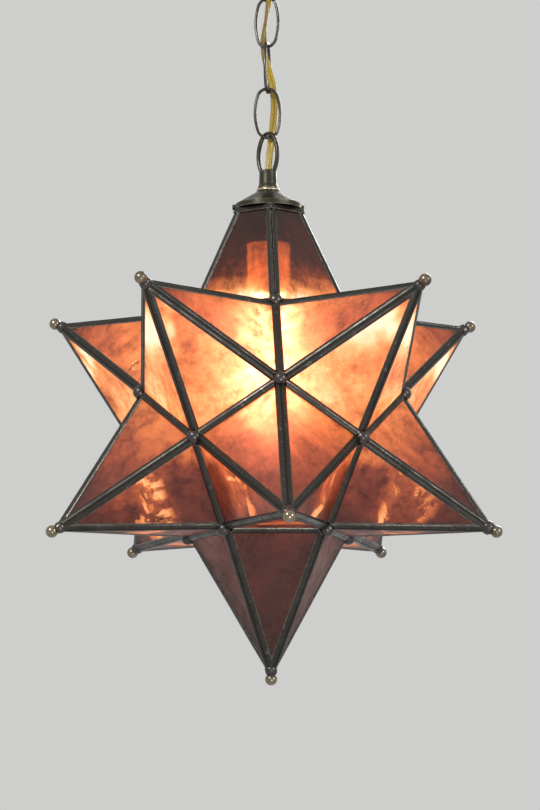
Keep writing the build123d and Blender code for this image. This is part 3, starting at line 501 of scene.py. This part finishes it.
def build_copper_glass():
    group, board, given, out = new_group(
        "copper_glass",
        [
            ("Clear", color_socket, (0.60, 0.20, 0.08, 1)),
            ("Smoke", color_socket, (0.20, 0.05, 0.03, 1)),
            ("Glow Strength", number_socket, 1.0),
            ("Roughness", number_socket, 0.3),
        ],
        [("Color", color_socket), ("Glow", color_socket), ("Roughness", number_socket),
         ("Height", number_socket)],
    )
    where = board.add("ShaderNodeTexCoord")
    place, facing = where.outputs["Object"], where.outputs["Normal"]
    # each pane gets its own part of the noise, by the way it faces
    own = board.vector("ADD", place, board.vector("SCALE", facing, scale=0.35))
    rise = board.math("SUBTRACT", board.parts(place)["Z"], star_middle.z)
    tilt = board.parts(facing)["Z"]
    reach = board.vector("LENGTH", board.vector("SUBTRACT", place, tuple(star_middle)))
    light = bulb_light(board, place, facing, rise, tilt)
    gathered = gathered_light(board, own, reach, rise, tilt)
    glint, shaded = low_glints(board, own, reach, rise, tilt)
    # painted shade on the dark patch beside the lower glints
    light = board.product(light, board.span(shaded, 0.0, 1.0, 1.0, 0.25))

    # wisps, blotches and seeds in the glass
    wisps = board.noise(own, 15, 6, 0.62, 1.4)
    blotches = board.span(board.noise(own, 46, 5, 0.62, 0.9), 0.42, 0.62)
    mottle = board.span(board.noise(own, 150, 5, 0.66, 0.5), 0.40, 0.64)
    specks = board.span(board.noise(own, 420, 3, 0.7), 0.62, 0.72)
    crack, beside = fine_cracks(board, own, mottle)
    smoke = board.math("ADD", board.product(board.span(wisps, 0.40, 0.60), 0.42),
                       board.product(blotches, 0.32))
    smoke = board.math("ADD", smoke, board.product(mottle, 0.34), clamp=True)
    color = board.mix(smoke, given["Clear"], given["Smoke"])
    color = board.mix(board.product(specks, 0.30), color, (0.60, 0.30, 0.16, 1))
    color = board.mix(board.product(crack, 0.8), color, (0.03, 0.010, 0.008, 1))

    # all the painted light together, with painted shade where the glass runs into a corner
    lit = board.product(light, board.span(smoke, 0.0, 1.0, 1.55, 0.40))
    # painted glints: under the upper points, in the lower spikes, beside the cracks and on the
    # seeds
    for extra, strength in (
        (gathered, 1.7), (glint, 0.75), (board.product(beside, light), 2.6),
        (board.product(specks, light), 0.8),
    ):
        lit = board.math("ADD", lit, board.product(extra, strength))
    corner_shade = board.add("ShaderNodeAmbientOcclusion", {"Distance": 6 * mm}, samples=4).outputs["AO"]
    lit = board.product(lit, board.span(corner_shade, 0.30, 0.95, 0.45, 1.0))
    glow = board.ramp(board.product(lit, 0.625, clamp=True), *glow_colors)
    glow = board.mix(board.product(crack, 0.9), glow, (0.012, 0.003, 0.002, 1))
    height = board.math("ADD", board.noise(own, 34, 3, 0.5), board.product(specks, 0.06))
    board.give(out, {
        "Color": color,
        "Glow": board.vector("SCALE", glow, scale=given["Glow Strength"]),
        "Roughness": board.product(given["Roughness"], board.span(smoke, 0.0, 1.0, 0.8, 1.35)),
        "Height": board.math("SUBTRACT", height, board.product(crack, 0.3)),
    })
    return group


copper_glass_group = build_copper_glass()


def make_copper_glass(name, clear, smoke, roughness):
    material, board, shader = new_material(name)
    glass = board.add("ShaderNodeGroup", {}, node_tree=copper_glass_group)
    board.give(glass.inputs, {"Clear": (*clear, 1), "Smoke": (*smoke, 1), "Roughness": roughness})
    board.give(shader.inputs, {
        "Base Color": glass.outputs["Color"],
        "Emission Color": glass.outputs["Glow"],
        "Emission Strength": 1.0,
        "Roughness": glass.outputs["Roughness"],
        "Normal": board.bump(glass.outputs["Height"], 0.30, 1.2 * mm),
        "Transmission Weight": 0.94,
        "IOR": 1.50,
        "Specular IOR Level": 0.12,
    })
    return material


copper_glass = make_copper_glass(
    "copper_glass", (0.35, 0.098, 0.056), (0.085, 0.018, 0.010), roughness=0.42)
neck_glass = make_copper_glass(
    "copper_neck_glass", (0.22, 0.060, 0.021), (0.050, 0.012, 0.008), roughness=0.10)
# the painted glow: amber near the bulb, maroon far from it
print("copper glass: clear near the bulb, maroon far from it")

# %% [markdown]
# The bulb is on. Its envelope is faintly frosted and glows warm, and the filament inside is nearly
# white. Both are plain emission: the glass round them does the colouring. A Light Path node dims
# the envelope for bounced rays, as its full strength would fill the whole star with stray streaks.

# %% Bulb materials


def glowing(name, base, glow, strength, roughness=0.3, transmission=0.0, bounced=1.0):
    """A lit material. bounced is the share of its light that rays of light get after a bounce."""
    material, board, shader = new_material(name)
    place = board.add("ShaderNodeTexCoord").outputs["Object"]
    haze = board.span(board.noise(place, 60, 3), 0.3, 0.7, 0.88, 1.0)
    color = board.mix(haze, (*[0.9 * part for part in glow], 1), (*glow, 1))
    path = board.add("ShaderNodeLightPath").outputs
    straight = board.math("MAXIMUM", path["Is Camera Ray"], path["Is Transmission Ray"])
    dimmed = board.span(straight, 0.0, 1.0, bounced, 1.0)
    board.give(shader.inputs, {
        "Base Color": (*base, 1),
        "Emission Color": board.vector("SCALE", color, scale=dimmed),
        "Emission Strength": strength,
        "Roughness": roughness,
        "Transmission Weight": transmission,
    })
    return material


bulb_envelope = glowing(
    "lit_bulb_glass", (0.98, 0.92, 0.80), (1.0, 0.88, 0.70), 60.0, 0.2, 0.3, bounced=0.14)
filament_glow = glowing("lit_filament", (1.0, 0.85, 0.6), (1.0, 0.80, 0.48), 60.0)
stem_glass = glowing("stem_glass", (0.95, 0.92, 0.86), (1.0, 0.75, 0.45), 2.0, 0.1, 0.6)
print("bulb lit, with", len((bulb_envelope, filament_glow, stem_glass)), "glowing materials")

# %% [markdown]
# The inside of a lampholder is pressed fibre and moulded phenolic; the bulb's foot is black glass.
# They are seldom seen, but each still gets its own grain and sheen.

# %% Insulating materials


def moulded(name, color, flecks, scale, roughness):
    material, board, shader = new_material(name)
    place = board.add("ShaderNodeTexCoord").outputs["Object"]
    grain = board.noise(place, scale, 5, 0.7)
    board.give(shader.inputs, {
        "Base Color": board.mix(board.span(grain, 0.42, 0.66), (*color, 1), (*flecks, 1)),
        "Roughness": board.span(grain, 0.3, 0.7, roughness - 0.08, roughness + 0.08),
        "Normal": board.bump(grain, 0.3, 0.2 * mm),
    })
    return material


fibre = moulded("fibre_sleeve", (0.30, 0.22, 0.14), (0.42, 0.33, 0.22), 500, 0.8)
phenolic = moulded("phenolic", (0.045, 0.035, 0.03), (0.09, 0.07, 0.055), 300, 0.35)
black_glass = moulded("black_glass", (0.02, 0.02, 0.025), (0.05, 0.05, 0.06), 200, 0.12)
print("insulating materials:", fibre.name, phenolic.name, black_glass.name)

# %% [markdown]
# Each node of the frame is now given its finish, by the kind of piece it is.

# %% Dress the frame
finishes = {
    "glass_": copper_glass, "glass_top": neck_glass, "ridges_": came_metal, "valleys_": came_metal,
    "tip_balls": tip_metal, "junction_balls": solder_metal, "neck_frame": came_metal,
    "canopy": bronze, "collar_ring": bronze, "hang_loop": bronze, "cap": bronze,
    "check_ring": bright_brass, "chain_link_": chain_metal,
    "crossbar": zinc, "ceiling_nipple": zinc, "ceiling_nut": zinc, "nipple": zinc, "cap_nut": zinc,
    "ground_screw": green_screw, "terminal_screws": bright_brass, "socket_contact": bright_brass,
    "socket_cap": socket_brass, "socket_shell": lit_brass, "screw_shell": socket_brass,
    "socket_liner": fibre, "socket_interior": phenolic,
    "bulb_base": bulb_cap, "bulb_insulator": black_glass, "bulb_contact": solder_metal,
    "bulb_glass": bulb_envelope, "bulb_stem": stem_glass, "bulb_filament": filament_glow,
}


def finish_for(node):
    """The finish whose name fits the start of the node's name best; the cord is drawn later."""
    fitting = [key for key in finishes if node.startswith(key)]
    return finishes[max(fitting, key=len)] if fitting else None


dressed = {name: finish_for(name) for name in nodes if finish_for(name)}
for name, material in dressed.items():
    nodes[name].data.materials.clear()
    nodes[name].data.materials.append(material)
print("dressed", len(dressed), "nodes")

# %% [markdown]
# Every corner of the star is soldered by hand. Molten solder runs a little way into the joint
# before it sets, so each ball stands in a small uneven pool, and each point has a collar where five
# bars of came run together. Geometry Nodes lay one blob on each place: a ball is pulled out of
# round by noise, turned to face outwards, and given its own size and spin from the seed.

# %% Solder places


def joined_part(start, waiting):
    """All the vertices that edges join to one, taken out of those that wait."""
    waiting.remove(start)
    front, part = [start], []
    while front:
        vertex = front.pop()
        part.append(vertex.co.copy())
        for edge in vertex.link_edges:
            other = edge.other_vert(vertex)
            if other in waiting:
                waiting.remove(other)
                front.append(other)
    return part


def group_centres(node):
    """The middle of each separate solid in a node, from its mesh's loose parts."""
    copy = bmesh.new()
    copy.from_mesh(nodes[node].data)
    bmesh.ops.remove_doubles(copy, verts=copy.verts, dist=0.01 * mm)
    waiting = set(copy.verts)
    centres = []
    for start in copy.verts:       # in the mesh's own order, so that each run gives the same list
        if start in waiting:
            part = joined_part(start, waiting)
            low = Vector([min(point[k] for point in part) for k in range(3)])
            high = Vector([max(point[k] for point in part) for k in range(3)])
            centres.append((low + high) / 2)
    copy.free()
    return centres


junctions = group_centres("junction_balls")
points = group_centres("tip_balls")
print(len(junctions), "junctions and", len(points), "points to solder")

# %% Solder tree
whole_number, arrow = "NodeSocketInt", "NodeSocketVector"
blob_sizes = (0.88, 1.10)      # the smallest and the largest blob, as shares of Blob Radius


def new_tree(name, inputs):
    """A Geometry Nodes tree with a mesh in, a mesh out, and the named sizes given."""
    tree = bpy.data.node_groups.new(name, "GeometryNodeTree")
    tree.interface.new_socket("Geometry", in_out="INPUT", socket_type="NodeSocketGeometry")
    for label, kind, value in inputs:
        tree.interface.new_socket(label, in_out="INPUT", socket_type=kind).default_value = value
    tree.interface.new_socket("Geometry", in_out="OUTPUT", socket_type="NodeSocketGeometry")
    board = Board(tree)
    return tree, board, board.add("NodeGroupInput").outputs, board.add("NodeGroupOutput").inputs


def close_tree(board, out, geometry, material):
    """The last steps of each tree: smooth faces, a material, and the way out."""
    smooth = board.add("GeometryNodeSetShadeSmooth", {"Geometry": geometry}).outputs["Geometry"]
    done = board.add("GeometryNodeSetMaterial", {"Geometry": smooth, "Material": material})
    board.give(out, {"Geometry": done.outputs["Geometry"]})


def by_chance(board, low, high, seed):
    """A number for each instance, drawn between two, from the seed."""
    drawn = {2: low, 3: high, "Seed": seed}
    return board.add("FunctionNodeRandomValue", drawn, data_type="FLOAT").outputs[1]


def build_solder_tree(material):
    """Blobs of solder on the points of a mesh, each turned to face away from the star's middle."""
    tree, board, given, out = new_tree("solder_blobs", [
        ("Blob Radius", number_socket, 6 * mm), ("Blob Height", number_socket, 0.6),
        ("Unevenness", number_socket, 1.2 * mm), ("Star Middle", arrow, tuple(star_middle)),
        ("Seed", whole_number, 3),
    ])
    blob = board.add("GeometryNodeMeshIcoSphere", {
        "Radius": given["Blob Radius"], "Subdivisions": 4,
    })
    here = board.add("GeometryNodeInputPosition").outputs[0]
    outward = board.vector("NORMALIZE", board.vector("SUBTRACT", here, given["Star Middle"]))
    facing = board.add("FunctionNodeAlignRotationToVector", {"Vector": outward}, axis="Z")
    spin = by_chance(board, 0.0, 2 * math.pi, given["Seed"])
    around = board.add("FunctionNodeAxisAngleToRotation", {"Axis": (0, 0, 1), "Angle": spin})
    turned = board.add("FunctionNodeRotateRotation", {
        "Rotation": facing.outputs["Rotation"], "Rotate By": around.outputs[0],
    }, rotation_space="LOCAL")
    size = by_chance(board, *blob_sizes, given["Seed"])
    flat = board.add("ShaderNodeCombineXYZ", {"X": size, "Y": size, "Z": given["Blob Height"]})
    laid = board.add("GeometryNodeInstanceOnPoints", {
        "Points": given["Geometry"], "Instance": blob.outputs["Mesh"],
        "Rotation": turned.outputs[0], "Scale": flat.outputs[0],
    }).outputs["Instances"]
    real = board.add("GeometryNodeRealizeInstances", {"Geometry": laid}).outputs["Geometry"]
    uneven = board.add("ShaderNodeTexNoise", {"Vector": here, "Scale": 210.0, "Detail": 2.0})
    lift = board.math("SUBTRACT", uneven.outputs["Fac"], 0.5)
    lift = board.product(lift, given["Unevenness"])
    normal = board.add("GeometryNodeInputNormal").outputs[0]
    moved = board.add("GeometryNodeSetPosition", {
        "Geometry": real, "Offset": board.vector("SCALE", normal, scale=lift),
    }).outputs["Geometry"]
    close_tree(board, out, moved, material)
    return tree


def grown(name, tree, places, values, edges=False):
    """Runs a tree on a mesh of bare points or edges, and keeps the result as a plain mesh."""
    mesh = bpy.data.meshes.new(name + "_places")
    pairs = [(k, k + 1) for k in range(0, len(places), 2)] if edges else []
    mesh.from_pydata([tuple(place) for place in places], pairs, [])
    host = new_object(name + "_places", mesh)
    modifier = host.modifiers.new("grow", "NODES")
    modifier.node_group = tree
    given = [item for item in tree.interface.items_tree if item.in_out == "INPUT"]
    sockets = {item.name: item.identifier for item in given}
    for label, value in values.items():
        modifier[sockets[label]] = value
    bpy.context.view_layer.update()
    evaluated = host.evaluated_get(bpy.context.evaluated_depsgraph_get())
    result = bpy.data.meshes.new_from_object(evaluated)
    result.name = name
    bpy.data.objects.remove(host)
    print(name, len(result.polygons), "faces")
    return new_object(name, result)


solder_tree = build_solder_tree(solder_metal)

# %% Solder pools and collars


def toward_middle(places, drop):
    return [place + (star_middle - place).normalized() * drop for place in places]


pool_drop, collar_drop = 4.4 * mm, 7.4 * mm
pools = grown("solder_pools", solder_tree, toward_middle(junctions, pool_drop), {
    "Blob Radius": 7.3 * mm, "Blob Height": 0.55, "Unevenness": 1.6 * mm, "Seed": 5,
})
collars = grown("solder_collars", solder_tree, toward_middle(points, collar_drop), {
    "Blob Radius": 5.0 * mm, "Blob Height": 1.15, "Unevenness": 1.5 * mm, "Seed": 8,
})
for piece in (pools, collars):
    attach(piece, "star")

# %% [markdown]
# Ridge came is two folded channels back to back, and each ridge shows two light lines with a dark
# one between, along the seam where they meet. A second tree draws that dark seam along every ridge:
# the ridges are bare edges, and a thin round line is swept along them.

# %% Ridge lines
corner_reach, point_reach = 108 * mm, 196 * mm
neck_radius, neck_rise = 25.5 * mm, 168.9 * mm
seam_lift = 0.42 * mm          # off the ridge, so that the seam shows
start_gap, end_gap = 5.5 * mm, 6 * mm
same_spike = 0.7               # a corner belongs to an axis nearer than the angle of this cosine
straight_up = Vector((0, 0, 1))


def ridge_lines():
    """Each ridge's two ends, lifted a little off it: every corner belongs to three spikes."""
    spikes = [(point - star_middle).normalized() for point in points] + [straight_up]
    for junction in junctions:
        outward = (junction - star_middle).normalized()
        corner = star_middle + outward * corner_reach
        for axis in spikes:
            if outward.dot(axis) < same_spike:
                continue
            end = star_middle + axis * point_reach
            if axis is straight_up:
                flat = Vector((outward.x, outward.y, 0)).normalized()
                end = star_middle + flat * neck_radius + straight_up * neck_rise
            along = (end - corner).normalized()
            away = outward - axis * outward.dot(axis)
            away = (away - along * away.dot(along)).normalized() * seam_lift
            yield corner + along * start_gap + away, end + away - along * end_gap


seam_ends = list(ridge_lines())
print(len(seam_ends), "ridges")

# %% Seam tree


def build_seam_tree(material):
    """A thin dark line, swept along each edge of a mesh."""
    tree, board, given, out = new_tree("dark_seams", [
        ("Seam Radius", number_socket, 0.8 * mm), ("Waviness", number_socket, 0.3 * mm),
        ("Stations", whole_number, 24), ("Sides", whole_number, 8),
    ])
    line = board.add("GeometryNodeMeshToCurve", {"Mesh": given["Geometry"]}).outputs["Curve"]
    line = board.add("GeometryNodeResampleCurve", {
        "Curve": line, "Count": given["Stations"],
    }).outputs["Curve"]
    here = board.add("GeometryNodeInputPosition").outputs[0]
    wave = board.add("ShaderNodeTexNoise", {"Vector": here, "Scale": 120.0, "Detail": 2.0})
    sway = board.vector("SUBTRACT", wave.outputs["Color"], (0.5, 0.5, 0.5))
    line = board.add("GeometryNodeSetPosition", {
        "Geometry": line, "Offset": board.vector("SCALE", sway, scale=given["Waviness"]),
    }).outputs["Geometry"]
    ring = board.add("GeometryNodeCurvePrimitiveCircle", {
        "Resolution": given["Sides"], "Radius": given["Seam Radius"],
    })
    swept = board.add("GeometryNodeCurveToMesh", {
        "Curve": line, "Profile Curve": ring.outputs["Curve"], "Fill Caps": True,
    }).outputs["Mesh"]
    real = board.add("GeometryNodeRealizeInstances", {"Geometry": swept}).outputs["Geometry"]
    close_tree(board, out, real, material)
    return tree


dark_seam_metal = metal_finish(
    "dark_seam_metal", (0.030, 0.027, 0.023), (0.10, 0.09, 0.08), (0.012, 0.011, 0.009),
    amount=0.8, wear=0.2, smooth=0.4)
seam_tree = build_seam_tree(dark_seam_metal)
seams = grown("ridge_seams", seam_tree, [end for pair in seam_ends for end in pair],
              {"Seam Radius": 1.15 * mm, "Waviness": 0.3 * mm}, edges=True)
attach(seams, "star")

# %% [markdown]
# The lamp cord is flat gold twin cord: two clear conductors side by side with a brown line between.
# It runs from the ceiling pipe through each link to the lamp pipe. It is cut at the middle of each
# link, so each length spans one hinge only.

# %% Lamp cord
half_width, half_depth = 2.85 * mm, 1.45 * mm
cord_sides = 28
stations_per_run = 24
route = [                      # height, then the angle and the distance from the lamp's middle
    (-0.0005, 0, 0),
    (-0.0439, 0, 0),
    (-0.06875, 281, 9.9 * mm),
    (-0.1062, 286, 7.4 * mm),
    (-0.1439, 118, 9.5 * mm),
    (-0.1816, 26, 7.7 * mm),
    (-0.21905, 55, 6.7 * mm),
    (-0.2439, 0, 0),
    (-0.2976, 0, 0),
]
cord_turns = [                 # height, and which way the flat cord faces there, in degrees
    (-0.0005, 20), (-0.07, 20), (-0.085, 35), (-0.106, 60), (-0.125, 85), (-0.144, 40),
    (-0.165, 12), (-0.182, 8), (-0.205, 5), (-0.22, -10), (-0.244, -30), (-0.30, -30),
]
hinge_heights = [joint["pos_m"][2] for joint in frame["joints"] if joint["type"] == "hinge"]


def smooth_route():
    """The route's own smooth line, as a curve object with no thickness gives it."""
    curve = bpy.data.curves.new("cord_line", "CURVE")
    curve.dimensions = "3D"
    spline = curve.splines.new("NURBS")
    spline.points.add(len(route) - 1)
    for spot, (height, degrees, distance) in zip(spline.points, route):
        angle = math.radians(degrees)
        spot.co = (distance * math.cos(angle), distance * math.sin(angle), height, 1)
    spline.order_u = 3
    spline.use_endpoint_u = True
    spline.resolution_u = stations_per_run
    line = new_object("cord_line", curve)
    bpy.context.view_layer.update()
    mesh = bpy.data.meshes.new_from_object(line)
    found = [vertex.co.copy() for vertex in mesh.vertices]
    bpy.data.objects.remove(line)
    bpy.data.curves.remove(curve)
    bpy.data.meshes.remove(mesh)
    return found


def cord_turn(height):
    """Which way the cord faces at a height, eased from one entry of the list to the next."""
    for (high, first), (low, second) in zip(cord_turns, cord_turns[1:]):
        if high >= height >= low:
            share = (high - height) / (high - low)
            return math.radians(first + (second - first) * share * share * (3 - 2 * share))
    return math.radians(cord_turns[-1][1])


def cord_section(around):
    """Two round conductors joined by a thin web, as points of a closed outline."""
    angle = 2 * math.pi * around
    across = math.cos(angle)
    thick = math.sin(angle) * (0.62 + 1.15 * across * across) / 0.86
    return across * half_width, thick * half_depth


def cord_faces(stations):
    """The faces between the rings of points, and one over each end."""
    sides = cord_sides
    faces = []
    for ring in range(0, (stations - 1) * sides, sides):
        for side in range(sides):
            after = (side + 1) % sides
            faces.append((ring + side, ring + after, ring + sides + after, ring + sides + side))
    last = (stations - 1) * sides
    return faces + [tuple(range(sides)), tuple(last + side for side in reversed(range(sides)))]


def make_cord_length(name, points):
    """The cord's outline swept along its line. across runs from -1 to 1 over its width."""
    vertices, across_values = [], []
    for k, point in enumerate(points):
        before, after = points[max(0, k - 1)], points[min(len(points) - 1, k + 1)]
        along = (after - before).normalized()
        turn = cord_turn(point.z)
        wide = Vector((math.cos(turn), math.sin(turn), 0))
        wide = (wide - along * wide.dot(along)).normalized()
        deep = along.cross(wide)
        for side in range(cord_sides):
            x, y = cord_section(side / cord_sides)
            vertices.append(point + wide * x + deep * y)
            across_values.append(x / half_width)
    mesh = bpy.data.meshes.new(name)
    faces = cord_faces(len(points))
    mesh.from_pydata(vertices, [], faces)
    mesh.polygons.foreach_set("use_smooth", [len(face) == 4 for face in faces])
    across = mesh.attributes.new("across", "FLOAT", "POINT")
    across.data.foreach_set("value", across_values)
    outward = bmesh.new()
    outward.from_mesh(mesh)
    bmesh.ops.recalc_face_normals(outward, faces=outward.faces)
    outward.to_mesh(mesh)
    outward.free()
    return new_object(name, mesh)


def make_gold_cord():
    """Gold strands under clear plastic, with a brown web in the middle and a duller rim."""
    material, board, shader = new_material("gold_cord")
    across = board.add("ShaderNodeAttribute", attribute_name="across").outputs["Fac"]
    place = board.add("ShaderNodeTexCoord").outputs["Object"]
    from_web = board.math("ABSOLUTE", across)
    fine = board.noise(place, 700, 4, 0.7)
    strands = board.add("ShaderNodeTexWave", {
        "Vector": place, "Scale": 190.0, "Distortion": 2.5, "Detail": 2.0,
    }, bands_direction="DIAGONAL").outputs["Fac"]
    gold = board.mix(board.product(strands, 0.55), (0.56, 0.38, 0.040, 1), (0.30, 0.19, 0.020, 1))
    gold = board.mix(board.span(fine, 0.45, 0.70, 0.0, 0.5), gold, (0.17, 0.105, 0.018, 1))
    gold = board.mix(board.span(from_web, 0.80, 1.0), gold, (0.22, 0.16, 0.045, 1))
    web = board.product(board.span(from_web, 0.13, 0.04), 0.7)
    board.give(shader.inputs, {
        "Base Color": board.mix(web, gold, (0.12, 0.070, 0.016, 1)),
        "Roughness": board.span(fine, 0.3, 0.7, 0.30, 0.46),
        "Normal": board.bump(strands, 0.3, 0.2 * mm),
        "Specular IOR Level": 0.35,
        "Coat Weight": 0.2,
        "Coat Roughness": 0.15,
    })
    return material


def line_between(line, upper, lower):
    """The line's points between two heights, with a new point at each where the line goes on."""
    inside = [point for point in line if lower <= point.z <= upper]
    below = [point for point in line if point.z < lower]
    above = [point for point in line if point.z > upper]
    if below:
        share = (inside[-1].z - lower) / (inside[-1].z - below[0].z)
        inside.append(inside[-1].lerp(below[0], share))
    if above:
        share = (above[-1].z - upper) / (above[-1].z - inside[0].z)
        inside.insert(0, above[-1].lerp(inside[0], share))
    return inside


gold_cord = make_gold_cord()
cord_line = smooth_route()
cuts = [(upper + lower) / 2 for upper, lower in zip(hinge_heights, hinge_heights[1:])]
cuts = [cord_line[0].z, *cuts, cord_line[-1].z]
for k, hinge_height in enumerate(hinge_heights):
    length = make_cord_length(f"lamp_cord_{k + 1}", line_between(cord_line, cuts[k], cuts[k + 1]))
    length.data.materials.append(gold_cord)
    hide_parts("supply_cord")
    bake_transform(length)
print("lamp cord in", len(hinge_heights), "lengths,", len(cord_line), "stations")

# %% [markdown]
